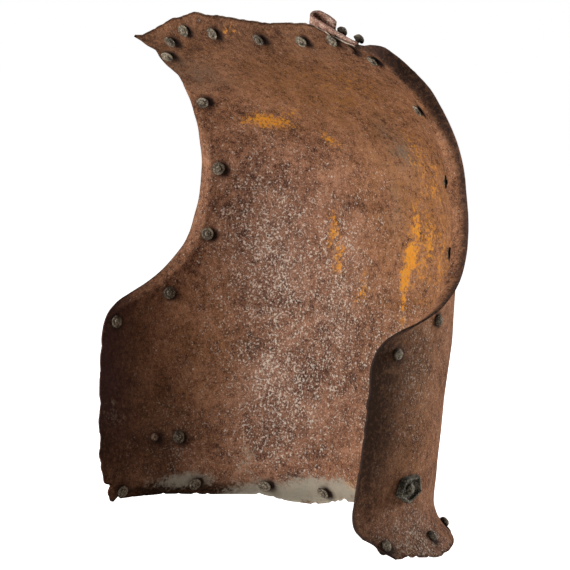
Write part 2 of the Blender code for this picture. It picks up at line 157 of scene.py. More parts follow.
# Patches of colour on the sheet, by finish: a patch's middle, its reach each way, and its strength.
PATCHES = {
    "orange": (
        (-90, 133, 370, 34, 30, 8, 0.95), (-58, 128, 378, 16, 30, 9, 0.6), (59, 181, 274, 8, 30, 20, 0.95),
        (53, 180, 248, 11, 30, 19, 1.25), (47, 177, 228, 9, 30, 20, 1.15), (48, 176, 200, 6, 30, 22, 0.75),
        (74, 178, 256, 20, 30, 44, 0.52), (-29, 155, 353, 12, 12, 12, 0.75),
        (-50, 182, 266, 11, 20, 20, 0.75), (-42, 180, 240, 9, 20, 26, 0.75),
        (-11, 178, 210, 14, 20, 20, 0.55), (84, 160, 330, 30, 40, 50, 0.45),
        (95, 150, 250, 30, 60, 50, 0.5), (-41, 29, 458, 26, 20, 8, 0.4), (60, 90, 415, 60, 40, 22, 0.38),
        (-16, 169, 22, 10, 20, 8, 0.8),
    ),
    "warm": (
        (70, 165, 300, 80, 70, 130, 1.0), (20, 100, 400, 120, 70, 60, 0.9), (-100, 60, 440, 60, 50, 40, 0.4),
        (-150, 60, 150, 26, 90, 90, 0.6), (186, 60, 110, 20, 50, 150, 0.7),
    ),
    "slate": (
        (58, 158, 347, 16, 30, 30, 0.9), (30, 175, 300, 16, 30, 40, 0.35), (-120, 70, 415, 30, 30, 18, 0.5),
    ),
    "speckle": (
        (-110, 160, 230, 70, 80, 120, 1.0), (-95, 160, 110, 80, 80, 110, 1.0),
        (-40, 175, 180, 60, 60, 150, 0.9), (30, 175, 130, 60, 60, 110, 0.75), (174, 60, 0, 30, 60, 40, 1.1),
        (186, 50, 150, 20, 40, 70, 0.8), (-160, 80, 60, 40, 60, 60, 0.5),
    ),
    "dark": (
        # Painted shade on the front of the right wing's inside.
        (-184, -6, 110, 10, 38, 150, 1.0),
    ),
    "umber": (
        # Painted shade on the wings and the waist flange's lower edge; along the top and right shoulder,
        # stain.
        (190, -20, 100, 18, 52, 220, 1.7), (-186, -10, 110, 30, 72, 200, 1.3),
        (-176, 50, 70, 40, 70, 90, 0.75),
        (0, 40, 462, 220, 60, 28, 0.75), (-150, 30, 440, 40, 60, 40, 1.0), (-165, 60, 0, 46, 90, 14, 1.6),
        (-100, 150, -4, 60, 60, 13, 0.8), (-172, 62, 13, 40, 62, 11, 1.5), (-146, 112, 8, 30, 36, 9, 1.3),
    ),
    "mineral": (
        (-110, 154, 4, 50, 40, 15, 1.15), (-60, 169, 10, 45, 30, 15, 1.35), (-28, 171, 14, 26, 30, 15, 1.1),
        (-160, 88, 21, 26, 40, 9, 0.95), (-124, 141, 36, 12, 20, 26, 0.5), (-172, 10, 92, 20, 18, 14, 0.38),
    ),
}

OUTSIDE_SHARE = 0.45  # how much of the hollow side's stains, crust and painted shade the outside of the back has
NEAR_WING = (140, 20)  # how far across the left wing starts, and over what distance
# A painted shadow beside each rivet on the plate: its reach, its shift to the side away from the lamps, and
# its strength.
RIVET_SHADOW_REACH = 5.6
RIVET_SHADOW_SHIFT = (3.0, 3.0, -1.2)
RIVET_SHADOW_STRENGTH = 2.4

# Painted shade on the armholes' lips, turned away from the lamps: how many columns in it reaches at each
# height.
LIP_SHADE = table("height columns", (200, 3.4), (300, 3.4), (350, 3.8), (385, 6), (415, 8.5))
LIP_SHADE_FADE = 2.5
LIP_SHADE_FOOT = (180, 15)  # the height where it starts, and over what height
FAR_LIP_SHARE = 0.25  # the right armhole's lip, turned to the lamp, takes less of the painted shade
# Painted shade along the sides' free edges below the armholes: how many columns in it reaches, and where it
# stops.
WING_EDGE_COLUMNS = 5
WING_EDGE_TOP = 195

# Wear and painted highlight on the rim's shoulder tops, more at the left strap; painted highlight on the
# left lip.
TOP_WEAR_AND_HIGHLIGHT_FOOT = (440, 6)
TOP_WEAR_AND_HIGHLIGHT_LIMITS = (0.05, 0.8)
TOP_WEAR_AND_HIGHLIGHT_LOWEST = 436
STRAP_END_ACROSS = 75
LIP_HIGHLIGHT_FOOT = (300, 60)
WEAR_AND_HIGHLIGHT_SHARE = 0.6

# Bites rusted out of the edges: their depth, their waves' length, and how far in they fade.
WAIST_BITE, WAIST_BITE_WAVE, WAIST_BITE_START, WAIST_BITE_FADE = 4.2, 9, 0.1, 0.7
TOP_BITE, TOP_BITE_WAVE, TOP_BITE_FADE = 1.6, 14, 0.5
SIDE_BITE, SIDE_BITE_WAVE, SIDE_BITE_TOP, SIDE_BITE_FADE = 3.0, 16, 185, 15
NOTCH_HEIGHT, NOTCH_REACH, NOTCH_DEPTH = 21, 3.0, 5.0  # above the waist's flange on the right edge

# Wear on each kind of piece: the dents' depth and number for each metre, then the pits'.
PLATE_WEAR = (2.2, 11.0, 0.35, 150.0)
STRAP_WEAR = (0.5, 70.0, 0.3, 300.0)
BELT_PLATE_WEAR = (0.3, 60.0, 0.2, 260.0)
LUG_WEAR = (1.6, 110.0, 0.5, 260.0)
RIVET_TIP = 0.05
RIVET_BATTER = 0.0013
BATTER_SCALE = 260.0

# The noises of the rust: waves for each metre, detail, roughness and, for one, distortion.
NOISES = {
    "broad": (26.0, 5.0, 0.62, 0.3),
    "mottle": (170.0, 6.0, 0.72),
    "grain": (760.0, 4.0, 0.7),
    "flecks": (480.0, 3.0, 0.75),
    "clouds": (80.0, 4.0, 0.65),
    "bloom": (75.0, 6.0, 0.72),
    "fine": (300.0, 5.0, 0.7),
    "grit": (420.0, 4.0, 0.75),
}
TONE_SHARES = {"broad": 0.24, "mottle": 0.34, "grain": 0.42}
RELIEF_SHARES = {"mottle": 0.7, "grain": 0.3, "crust": 0.15}
RAGGED_SHARES = {"bloom": 0.45, "fine": 0.55}
DARK_TO_BODY = (0.42, 0.5)
BODY_TO_LIGHT = (0.5, 0.57)
ROUGHNESS_RANGE = (0.3, 0.7, 0.72, 0.95)
CLOUD_SHARE = 0.24
CRUST_START, CRUST_PULL, CRUST_WIDTH, CRUST_SHARE = 0.695, 0.19, 0.1, 0.78
CRUST_COLOUR = (0.5, 0.42, 0.345, 1)
DARK_RUST = (0.034, 0.015, 0.011, 1)

# The plate's rust, plain and where the specks grey it.
PLATE_BODY, GREYED_BODY = (0.155, 0.068, 0.036, 1), (0.112, 0.056, 0.04, 1)
PLATE_LIGHT, GREYED_LIGHT = (0.27, 0.13, 0.072, 1), (0.2, 0.11, 0.08, 1)
PLATE_SPECKS, SPECKLED_SPECKS, GREYED_SHARE = 0.4, 0.62, 0.6
PLATE_RELIEF = 0.0014

ORANGE_BROWN = (0.27, 0.115, 0.032, 1)
# Umber: painted shade on the wings and the waist's lower edge, stain along the top.
UMBER = (0.027, 0.0135, 0.0075, 1)
SLATE_GREY = (0.12, 0.105, 0.085, 1)
ORANGE_RUST = (0.5, 0.165, 0.01, 1)
YELLOW_RUST = (0.43, 0.2, 0.03, 1)
# The colour of the painted shadow beside the rivets.
RIVET_SHADOW_BROWN = (0.022, 0.012, 0.009, 1)
# Purple brown: painted shade on the right wing's inside.
PURPLE_BROWN = (0.075, 0.036, 0.036, 1)
LIME_GREY = (0.27, 0.245, 0.19, 1)
# The colour of the painted shade on the lips and the wings' front edges.
LIP_SHADE_BROWN = (0.027, 0.016, 0.013, 1)
# The pale colour of the rim's wear and painted highlight.
WORN_AND_LIT_EDGE = (0.4, 0.31, 0.25, 1)
# Near black painted shade on the rivets, and how much of it shows.
SHADE_BLACK = (0.008, 0.006, 0.005, 1)
SHADE_SHARE = 0.85
RUSTED_END = (0.14, 0.062, 0.034, 1)

# Layers of colour under and over the orange and the lime: the mask, the colour, and the noise that breaks
# it up, from one strength at one value of the noise to another at another.
LOWER_LAYERS = (
    # The umber and the dark are partly painted shade.
    ("warm", ORANGE_BROWN, "ragged", (0.4, 0.6, 0.05, 0.62)),
    ("umber", UMBER, "fine", (0.35, 0.62, 1.0, 0.62)),
    ("dark", PURPLE_BROWN, "bloom", (0.3, 0.6, 0.85, 0.55)),
    ("slate", SLATE_GREY, "bloom", (0.4, 0.6, 0.1, 0.7)),
)
UPPER_LAYERS = (
    # painted shadow beside the rivets
    ("stain", RIVET_SHADOW_BROWN, "bloom", (0.3, 0.7, 1.5, 0.8)),
    # painted shade on the lips and the wings' front edges
    ("lip", LIP_SHADE_BROWN, "fine", (0.35, 0.7, 1.0, 0.6)),
    # wear and painted highlight on the rim
    ("edge", WORN_AND_LIT_EDGE, "bloom", (0.35, 0.6, 0.2, 0.9)),
)
ORANGE_PULL, ORANGE_START = 0.3, (0.62, 0.8)
ORANGE_GRAIN = (0.36, 0.54, 0.45, 0.95)
ORANGE_TO_YELLOW = (0.4, 0.6)
LIME_PULL, LIME_START = 0.48, (0.62, 0.9, 0.0, 0.8)

# The small parts' iron: dark, middle and light colour, specks, metallic, and the relief's height.
FITTING_IRONS = {
    "grey_rivet_iron": (
        (0.018, 0.013, 0.009, 1), (0.092, 0.072, 0.05, 1), (0.26, 0.215, 0.155, 1), 0.6, 0.2, 0.0006,
    ),
    "pink_rusted_strap_iron": (
        (0.06, 0.028, 0.02, 1), (0.2, 0.1, 0.07, 1), (0.36, 0.23, 0.18, 1), 0.8, 0.1, 0.0006,
    ),
    "dark_fitting_iron": (
        (0.01, 0.009, 0.007, 1), (0.045, 0.04, 0.028, 1), (0.22, 0.19, 0.14, 1), 0.5, 0.3, 0.0008,
    ),
    "rusted_fitting_iron": (
        (0.05, 0.022, 0.015, 1), (0.16, 0.068, 0.04, 1), (0.25, 0.12, 0.075, 1), 0.4, 0.1, 0.0006,
    ),
}
RUST_SHINE, METAL_SHINE = 0.02, 0.5

WHITE = (1, 1, 1, 1)
FLOOR_GREY = (0.86, 0.86, 0.86, 1)
FLOOR_HALF = 30
FLOOR_ROUGHNESS = 0.9
FLOOR_GLOW = 0.87
AIR_STRENGTH = 0.15
CAMERA_PLACE = (1.84166, -1.88173, 0.45957)
CAMERA_TURN = (1.48139, -0.05615, 0.78586)
CAMERA_LENS = 180
CAMERA_REACH = 200
# Lamps: direction from the object, distance, power and size.
LAMPS = {
    "window_side_lamp": ((-0.22, -0.93, 0.3), 2.6, 106, 1.1),
    "far_side_lamp": ((0.3, 0.92, 0.2), 2.4, 78, 1.0),
}
LAMP_AIM = (0, 0, 0.24)

# Rivets in rows, by piece: the side that depths are measured on, the packing under the domes and the seed,
# then where each rivet is.
RIVET_ROWS = {
    "armhole_rivets_right": (RIGHT, 0, 3, "back height", (43, 434), (95, 389), (123, 323), (117, 259),
                             (79, 203), (18, 179)),
    "armhole_rivets_left": (LEFT, 0, 5, "back height", (43, 434), (96, 389), (126, 323), (120, 259),
                            (80, 204), (18, 180)),
    "neck_rivets": (None, 0, 7, "across height", (-57, 456), (0, 451), (54, 450)),
    "waist_rivets_right": (RIGHT, WAIST_HEAD_LIFT, 11, "back height", (14, 17), (94, 17), (148, 14)),
    "waist_rivets_left": (LEFT, WAIST_HEAD_LIFT, 13, "back height", (14, 9), (85, 7), (142, 7)),
    "waist_rivets_rear": (None, WAIST_HEAD_LIFT, 17, "across height", (-51, 12), (0, 14), (51, 11)),
    "strap_rivets_right": (None, STRAP_PACKING, 19, "across height", (-93, 458), (-116, 448)),
}
STRAP_RIVETS_LEFT = table("across height", (95, 451), (111, 442.5))
BELT_PLATE_RIVETS = table("back height", (55, 65), (79, 63))
LUG_PLACE = table("back height", (45, 58))

# The middle line of each strap along its shoulder, and of the belt plate along its side.
STRAP_LINE_RIGHT = table("across height", (-126, 443), (-116, 448), (-104, 453.5), (-93, 458), (-82, 462))
STRAP_LINE_LEFT = table("across height", (114.8, 441), (107, 444.5), (97, 450), (86, 456), (77, 461))
BELT_PLATE_LINE = table("back height", (45, 64), (55, 64), (67, 64), (79, 64), (90, 64))
STRAP_RETURN_LINE = table("along drop", (0.3, -0.5), (0.6, 0), (0.8, 1.2), (0.93, 4.0), (1.0, 6.8))
STRAP_TURN_STEPS = 10
RIGHT_STRAP_STEPS, LEFT_STRAP_STEPS, BELT_PLATE_STEPS = 60, 130, 50
BAR_CORNER, BELT_PLATE_CORNER = 0.7, 0.5
BAR_END_LENGTH, BAR_END_NARROWING, BAR_END_THINNING = 2.0, 0.16, 0.35

# A rivet's peened end and its dome as shares of their radius and height, and each ring's painted shade.
PEENED_END = table("radius height grime", (0, 0.9, 0.3), (0.35, 0.8, 0.25), (0.7, 1, 0), (0.95, 0.7, 0))
DOME = table("radius height grime", (0.97, 0.28, 0.3), (0.86, 0.55, 0), (0.66, 0.79, 0), (0.36, 0.95, 0),
             (0, 1, 0))
RIVET_EDGE = 0.3
LUG_RIVET = "belt_lug_rivet_left"


def smooth(values, keys, at):
    """A smooth curve through a table's values that never runs past them."""
    at = np.clip(at, keys[0], keys[-1])
    spans = np.diff(keys)
    slopes = np.diff(values) / spans
    tangents = np.concatenate([slopes[:1], np.zeros(len(keys) - 2), slopes[-1:]])
    for i in range(1, len(keys) - 1):
        before, after = slopes[i - 1], slopes[i]
        if before * after > 0:
            weight_before = 2 * spans[i] + spans[i - 1]
            weight_after = spans[i] + 2 * spans[i - 1]
            tangents[i] = (weight_before + weight_after) / (weight_before / before + weight_after / after)
    row = np.clip(np.searchsorted(keys, at, side="right") - 1, 0, len(spans) - 1)
    t = (at - keys[row]) / spans[row]
    return (
        (2 * t**3 - 3 * t**2 + 1) * values[row]
        + (t**3 - 2 * t**2 + t) * spans[row] * tangents[row]
        + (3 * t**2 - 2 * t**3) * values[row + 1]
        + (t**3 - t**2) * spans[row] * tangents[row + 1]
    )


def ramp(values, start, length):
    """From 0 at the start to 1 this much further on."""
    return np.clip((values - start) / length, 0, 1)


def unit(vectors):
    return vectors / np.maximum(np.linalg.norm(vectors, axis=-1, keepdims=True), 1e-9)


def travelled(points):
    """How far along a line each of its points is."""
    return np.concatenate([[0], np.cumsum(np.linalg.norm(np.diff(points, axis=0), axis=1))])


def section(height):
    return [smooth(SECTIONS[name], SECTIONS["height"], height)
            for name in ("half_width", "depth", "front", "squareness")]


def plate_point(angle, height):
    """The inner face's points at these angles from the middle of the back, positive to the wearer's left."""
    angle, height = np.broadcast_arrays(np.asarray(angle, float), np.asarray(height, float))
    half_width, depth, front, squareness = section(height)
    across = np.sign(angle) * np.abs(np.sin(angle)) ** (2 / squareness)
    back = np.abs(np.cos(angle)) ** (2 / squareness)
    return np.stack([half_width * across, front + depth * back, height], -1)


def angle_at_back(side, back, height):
    _, depth, front, squareness = section(height)
    share = np.clip((back - front) / depth, 0, 1)
    return side * np.arccos(share ** (squareness / 2))


def angle_at_across(across, height):
    half_width, _, _, squareness = section(height)
    share = np.minimum(abs(across) / half_width, 1)
    return np.sign(across) * np.arcsin(share ** (squareness / 2))


def outward_normal(angle, height):
    small_angle, small_height = 0.01, 1.0
    along = plate_point(angle + small_angle, height) - plate_point(angle - small_angle, height)
    up = plate_point(angle, height + small_height) - plate_point(angle, height - small_height)
    normal = np.cross(up, along)
    return normal / np.linalg.norm(normal)


def row_height(kind, amount, angle):
    """The height of a row of the plate at each angle."""
    if kind == "waist":
        edge = smooth(WAIST_EDGE["height"], WAIST_EDGE["angle"], np.degrees(angle))
        return edge + (WAIST_HEIGHT - edge) * amount
    if kind == "body":
        return np.full_like(angle, amount)
    height = np.full_like(angle, SHOULDER_HEIGHT)
    for _ in range(TOP_ROUNDS):
        across = plate_point(angle, height)[:, 0]
        edge = np.interp(across, TOP_EDGE["across"], TOP_EDGE["height"])
        height = SHOULDER_HEIGHT + (edge - SHOULDER_HEIGHT) * amount
    return height


def fold_angle(kind, amount, side):
    """Where a row of the plate meets the fold line on one side."""
    if kind == "top":
        height = SHOULDER_HEIGHT + (TIP_HEIGHTS[side] - SHOULDER_HEIGHT) * amount
    else:
        height = row_height(kind, amount, np.array([side * math.pi / 2]))[0]
    return angle_at_back(side, smooth(FOLD_LINE[SIDE_NAMES[side]], FOLD_LINE["height"], height), height)


def plate_row(kind, amount):
    """One row of the plate between its two fold lines, its points evenly spaced."""
    angles = np.linspace(fold_angle(kind, amount, RIGHT), fold_angle(kind, amount, LEFT), FINE_STEPS + 1)
    points = plate_point(angles, row_height(kind, amount, angles))
    far = travelled(points)
    even = np.linspace(0, far[-1], SHEET_COLUMNS + 1)
    return np.stack([np.interp(even, far, points[:, axis]) for axis in range(3)], -1)


def lip_columns(fold, inside):
    """The columns of the lip beyond one fold line, given the column of points just inside it."""
    tangent = unit(np.gradient(fold, axis=0))
    outward = fold - inside
    outward = unit(outward - tangent * (outward * tangent).sum(-1, keepdims=True))
    normal = np.cross(tangent, outward)
    normal[normal[:, 1] < 0] *= -1
    width = smooth(LIP["width"], LIP["height"], fold[:, 2])
    turn = np.radians(smooth(LIP["turn"], LIP["height"], fold[:, 2]))
    columns, edge = [], fold
    for step in range(LIP_COLUMNS):
        share = np.interp((step + 0.5) / LIP_COLUMNS, LIP_TURN["along"], LIP_TURN["share"])
        direction = outward * np.cos(turn * share)[:, None] + normal * np.sin(turn * share)[:, None]
        edge = edge + direction * width[:, None] / LIP_COLUMNS
        columns.append(edge)
    return columns


def plate_columns():
    """The plate's inner face from the right edge to the left, as an array of columns by rows by 3."""
    rows = [plate_row("waist", amount) for amount in np.arange(WAIST_STEPS) / WAIST_STEPS]
    rows += [plate_row("body", height)
             for height in np.linspace(WAIST_HEIGHT, SHOULDER_HEIGHT, BODY_STEPS + 1)]
    rows += [plate_row("top", amount) for amount in np.arange(1, TOP_STEPS + 1) / TOP_STEPS]
    columns = np.stack(rows, 1)
    right = lip_columns(columns[0], columns[1])
    left = lip_columns(columns[-1], columns[-2])
    return np.concatenate([np.stack(right[::-1]), columns, np.stack(left)])


def bites(points, wave, seed, start=0.0):
    """How strongly rust has bitten at each point, in waves about this many millimetres long."""
    flat = points / wave + seed * 17.3
    values = [noise.fractal(Vector(point), 1.0, 2.0, 3) for point in flat]
    return np.maximum(np.array(values) - start, 0)[:, None]


def bite_side(columns, side):
    """Bites into one side's free edge, and cuts the notch in the right one."""
    lip = range(LIP_COLUMNS) if side == RIGHT else range(-1, -1 - LIP_COLUMNS, -1)
    edge, inside = columns[lip[0]], columns[lip[-1] - side]
    height = edge[:, 2:]
    below_top = ramp(SIDE_BITE_TOP - height, 0, SIDE_BITE_FADE)
    depth = bites(edge, SIDE_BITE_WAVE, 3 - side) * SIDE_BITE * below_top
    if side == RIGHT:
        depth = depth + np.exp(-(((height - NOTCH_HEIGHT) / NOTCH_REACH) ** 2)) * NOTCH_DEPTH
    inward = unit(inside - edge) * depth
    for step, column in enumerate(lip):
        columns[column] += inward * (1 - step / LIP_COLUMNS)


def chipped(columns):
    """The sheet with small bites rusted out of its waist, its top and its side edges."""
    fade = np.clip(1 - np.arange(WAIST_STEPS) / (WAIST_STEPS * WAIST_BITE_FADE), 0, 1) ** 1.5
    waist = bites(columns[:, 0], WAIST_BITE_WAVE, 1, WAIST_BITE_START) * WAIST_BITE
    columns[:, :WAIST_STEPS, 2] += waist * fade
    fade = np.clip(1 - np.arange(TOP_STEPS) / (TOP_STEPS * TOP_BITE_FADE), 0, 1)[::-1]
    columns[:, -TOP_STEPS:, 2] -= bites(columns[:, -1], TOP_BITE_WAVE, 2) * TOP_BITE * fade
    for side in (RIGHT, LEFT):
        bite_side(columns, side)
    return columns


def to_world_direction(vectors):
    return vectors @ np.array(Euler(REST_LEAN).to_matrix()).T


def to_world(points):
    """Plate-frame millimetres to metres on the floor."""
    return (to_world_direction(points) + np.array(REST_ORIGIN)) * MM


def sheet_faces(columns, rows):
    """The faces of a closed sheet of two grids with a rounded rim loop between them."""
    index = np.arange(columns * rows).reshape(columns, rows)
    quads = np.stack([index[:-1, :-1], index[:-1, 1:], index[1:, 1:], index[1:, :-1]], -1).reshape(-1, 4)
    outer = quads + columns * rows
    rim = np.concatenate([index[:-1, 0], index[-1, :-1], index[:0:-1, -1], index[0, :0:-1]])
    middle = 2 * columns * rows + np.arange(len(rim))
    following, middle_following = np.roll(rim, -1), np.roll(middle, -1)
    inner_rim = np.stack([rim, following, middle_following, middle], -1)
    outer_rim = np.stack([middle, middle_following, following + columns * rows, rim + columns * rows], -1)
    return np.concatenate([quads[:, ::-1], outer, inner_rim, outer_rim]), rim


def patch_mask(points, kind):
    """How strongly each point takes this finish."""
    mask = np.zeros(len(points))
    for *patch, strength in PATCHES[kind]:
        far = (((points - patch[:3]) / patch[3:]) ** 2).sum(-1)
        mask = np.maximum(mask, strength * np.exp(-far))
    return mask


def rivet_painted_shadows(points):
    """A painted shadow beside each rivet, shifted to its side away from the lamps."""
    mask = np.zeros(len(points))
    for _, places, *_ in rivet_pieces():
        for middle, _ in places:
            mask = np.maximum(mask, np.exp(-(((points - middle - RIVET_SHADOW_SHIFT) / RIVET_SHADOW_REACH) ** 2).sum(-1)))
    return np.minimum(mask * RIVET_SHADOW_STRENGTH, 1)


def painted_lip_shade(inner):
    """How much painted shade each point of the inner grid takes beside the sheet's free sides: on the lips
    and along the wings' front edges.
    """
    column = np.arange(len(inner))
    from_edge = np.minimum(column, column[::-1])[:, None]
    across, height = inner[..., 0], inner[..., 2]
    reach = np.interp(height, LIP_SHADE["height"], LIP_SHADE["columns"])
    lip = ramp(reach - from_edge, 0, LIP_SHADE_FADE) * ramp(height, *LIP_SHADE_FOOT)
    wing_edge = ramp(WING_EDGE_COLUMNS - from_edge, 0, WING_EDGE_COLUMNS) * (height < WING_EDGE_TOP)
    return (np.maximum(lip, wing_edge) * np.where(across > 0, 1, FAR_LIP_SHARE)).reshape(-1)


def rim_wear_and_highlight(rim):
    """How bright the wear and painted highlight are at each point of the rim; along the left lip it is
    painted highlight.
    """
    across, height = rim[:, 0], rim[:, 2]
    start, length = TOP_WEAR_AND_HIGHLIGHT_FOOT
    top = np.clip((height - start) / length, *TOP_WEAR_AND_HIGHLIGHT_LIMITS) + WEAR_AND_HIGHLIGHT_SHARE * (across > STRAP_END_ACROSS)
    lip = WEAR_AND_HIGHLIGHT_SHARE * (across > 0) * ramp(height, *LIP_HIGHLIGHT_FOOT)
    return np.maximum(top * (height > TOP_WEAR_AND_HIGHLIGHT_LOWEST), lip)


def add_attribute(mesh, name, values):
    kind = "FLOAT_VECTOR" if values.ndim == 2 else "FLOAT"
    attribute = mesh.attributes.new(name, kind, "POINT")
    attribute.data.foreach_set("vector" if values.ndim == 2 else "value", values.astype(np.float32).ravel())


def add_piece(name, data):
    piece = bpy.data.objects.new(name, data)
    bpy.context.scene.collection.objects.link(piece)
    return piece


def smooth_shade(mesh):
    mesh.polygons.foreach_set("use_smooth", [True] * len(mesh.polygons))


def make_mesh(name, points, faces):
    mesh = bpy.data.meshes.new(name)
    mesh.from_pydata(points.tolist(), [], faces.tolist())
    smooth_shade(mesh)
    mesh.update()
    return mesh


def right_way_out(mesh):
    """Turns a closed mesh's faces outwards."""
    bm = bmesh.new()
    bm.from_mesh(mesh)
    bmesh.ops.remove_doubles(bm, verts=bm.verts, dist=1e-6)
    bmesh.ops.recalc_face_normals(bm, faces=bm.faces)
    bm.to_mesh(mesh)
    bm.free()
    return mesh


def vertex_vectors(mesh, name):
    values = np.empty(len(mesh.vertices) * 3, np.float32)
    mesh.vertices.foreach_get(name, values)
    return values.reshape(-1, 3)


def back_plate_sheet():
    """The plate as one closed sheet, with what its material needs at each point."""
    grid = chipped(plate_columns())
    normal = unit(np.cross(np.gradient(grid, axis=1), np.gradient(grid, axis=0))).reshape(-1, 3)
    faces, rim = sheet_faces(*grid.shape[:2])
    inner = grid.reshape(-1, 3)
    outer = inner + normal * PLATE_THICKNESS
    along = unit(np.roll(inner[rim], -1, 0) - np.roll(inner[rim], 1, 0))
    beyond = np.cross(along, normal[rim])
    from_middle = inner[rim] - grid[1:-1, 1:-1].reshape(-1, 3).mean(0)
    beyond *= np.sign((beyond * from_middle).sum(-1, keepdims=True))
    middle = (inner[rim] + outer[rim]) / 2 + beyond * RIM_ROUNDING
    points = np.concatenate([inner, outer, middle])
    world = to_world(points)
    world[:, 2] = np.maximum(world[:, 2], 0)
    mesh = make_mesh("back_plate_iron", world, faces)
    # painted shade on the lips and the wings' front edges
    lip = painted_lip_shade(grid)
    add_attribute(mesh, "outward", to_world_direction(np.concatenate([normal, normal, normal[rim]])))
    add_attribute(mesh, "lip", np.concatenate([lip, lip, lip[rim]]))
    # wear and painted highlight on the rim
    add_attribute(mesh, "edge", np.concatenate([np.zeros(2 * len(inner)), rim_wear_and_highlight(inner[rim])]))
    # The painted shadow beside each rivet.
    add_attribute(mesh, "stain", rivet_painted_shadows(points))
    hollow_side = np.ones(len(points))
    hollow_side[len(inner) : 2 * len(inner)] = 0
    both_sides = np.maximum(np.maximum(hollow_side, ramp(points[:, 0], *NEAR_WING)), OUTSIDE_SHARE)
    shares = {"warm": 1, "speckle": both_sides, "dark": both_sides, "umber": both_sides}
    for kind in PATCHES:
        add_attribute(mesh, kind, patch_mask(points, kind) * shares.get(kind, hollow_side))
    return mesh


def feed(tree, socket, value):
    """Links a socket to this one, or sets it to a plain value."""
    if isinstance(value, bpy.types.NodeSocket):
        tree.links.new(value, socket)
    else:
        socket.default_value = value


def feed_all(tree, node, **values):
    """Feeds the inputs named here, with underscores for spaces."""
    for name, value in values.items():
        feed(tree, node.inputs[name.replace("_", " ")], value)
    return node.outputs


def new_node(tree, kind, **settings):
    node = tree.nodes.new(kind)
    for name, value in settings.items():
        setattr(node, name, value)
    return node


def add(tree, kind, **values):
    """A new node's outputs, its inputs fed."""
    return feed_all(tree, tree.nodes.new(kind), **values)


def add_math(tree, operation, a, b, kind="ShaderNodeMath"):
    node = new_node(tree, kind, operation=operation)
    feed(tree, node.inputs[0], a)
    feed(tree, node.inputs["Scale" if operation == "SCALE" else 1], b)
    return node.outputs[0]


def add_vectors(tree, operation, a, b):
    return add_math(tree, operation, a, b, "ShaderNodeVectorMath")


def plus(tree, a, b):
    return add_math(tree, "ADD", a, b)


def times(tree, a, b):
    return add_math(tree, "MULTIPLY", a, b)


def add_noise(tree, place, scale, detail, roughness, distortion=0.0):
    """A noise's outputs: its value, then its colour."""
    return add(tree, "ShaderNodeTexNoise", Vector=place, Scale=scale, Detail=detail,
               Roughness=roughness, Distortion=distortion)


def add_noises(tree, place, *names):
    return {name: add_noise(tree, place, *NOISES[name])[0] for name in names}


def add_range(tree, value, low, high, to_low=0.0, to_high=1.0):
    """A smooth step of a value between two limits."""
    node = new_node(tree, "ShaderNodeMapRange", interpolation_type="SMOOTHSTEP")
    return feed_all(tree, node, Value=value, From_Min=low, From_Max=high, To_Min=to_low, To_Max=to_high)[0]


def add_mix(tree, share, a, b):
    """A mix of two colours."""
    node = new_node(tree, "ShaderNodeMix", data_type="RGBA")
    for socket, value in ("Factor", share), (6, a), (7, b):
        feed(tree, node.inputs[socket], value)
    return node.outputs[2]


def add_blend(tree, values, shares):
    """The sum of the values named in shares, each times its share."""
    total, *others = [times(tree, values[name], share) for name, share in shares.items()]
    for part in others:
        total = plus(tree, total, part)
    return total


def new_tree(name, kind, inputs, outputs):
    """A node group with these sockets, its inputs' values, and the node that takes its outputs."""
    tree = bpy.data.node_groups.new(name, kind)
    for way, sockets in ("INPUT", inputs), ("OUTPUT", outputs):
        for socket, type_name in sockets.items():
            tree.interface.new_socket(name=socket, in_out=way, socket_type="NodeSocket" + type_name)
    return tree, add(tree, "NodeGroupInput"), tree.nodes.new("NodeGroupOutput")


def attribute_vector(tree, name):
    node = new_node(tree, "GeometryNodeInputNamedAttribute", data_type="FLOAT_VECTOR")
    return feed_all(tree, node, Name=name)[0]


def finish_geometry(tree, geometry, offset, finish, out):
    """Ends a geometry tree: moves its points and paints it."""
    moved = add(tree, "GeometryNodeSetPosition", Geometry=geometry, Offset=offset)[0]
    real = add(tree, "GeometryNodeRealizeInstances", Geometry=moved)[0]
    feed_all(tree, out, Geometry=add(tree, "GeometryNodeSetMaterial", Geometry=real, Material=finish)[0])


def worn_iron_tree():
    """Dents a sheet along its outward attribute and eats pits into its faces."""
    tree, given, out = new_tree("worn_iron", "GeometryNodeTree", {
        "Geometry": "Geometry", "Dent Depth": "Float", "Dent Scale": "Float", "Pit Depth": "Float",
        "Pit Scale": "Float", "Finish": "Material",
    }, {"Geometry": "Geometry"})
    place = add(tree, "GeometryNodeInputPosition")[0]
    normal = add(tree, "GeometryNodeInputNormal")[0]
    dent = add_math(tree, "SUBTRACT", add_noise(tree, place, given["Dent Scale"], 3.0, 0.5)[0], 0.5)
    dent = times(tree, dent, given["Dent Depth"])
    pit = add_range(tree, add_noise(tree, place, given["Pit Scale"], 5.0, 0.7)[0], 0.5, 0.72)
    pit = times(tree, pit, times(tree, given["Pit Depth"], -1.0))
    dented = add_vectors(tree, "SCALE", attribute_vector(tree, "outward"), dent)
    moved = add_vectors(tree, "ADD", dented, add_vectors(tree, "SCALE", normal, pit))
    finish_geometry(tree, given["Geometry"], moved, given["Finish"], out)
    return tree


